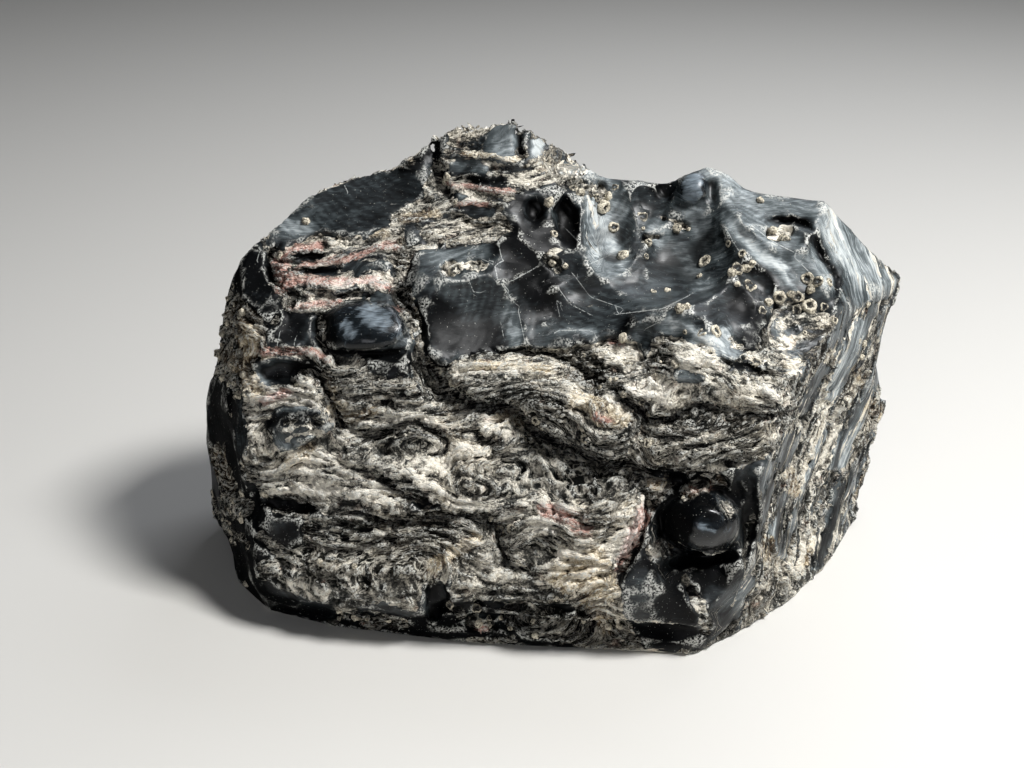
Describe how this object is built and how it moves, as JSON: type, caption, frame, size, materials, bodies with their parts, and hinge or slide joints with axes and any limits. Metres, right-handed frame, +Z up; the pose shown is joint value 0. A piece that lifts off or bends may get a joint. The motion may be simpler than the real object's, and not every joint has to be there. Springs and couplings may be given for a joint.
{
  "type": "obsidian chunk",
  "caption": "Rough broken chunk of black flow-banded obsidian with glassy scars and pale devitrified crust, resting on a flat break.",
  "frame": {"origin": "middle of the bounding box at the base", "axes": "+Z up, +X along the long side, -Y towards the banded front face"},
  "size_m": [0.26, 0.136, 0.1615],
  "materials": {
    "obsidian": "satin"
  },
  "bodies": {
    "root": {"obsidian_chunk": "obsidian"}
  },
  "joints": []
}
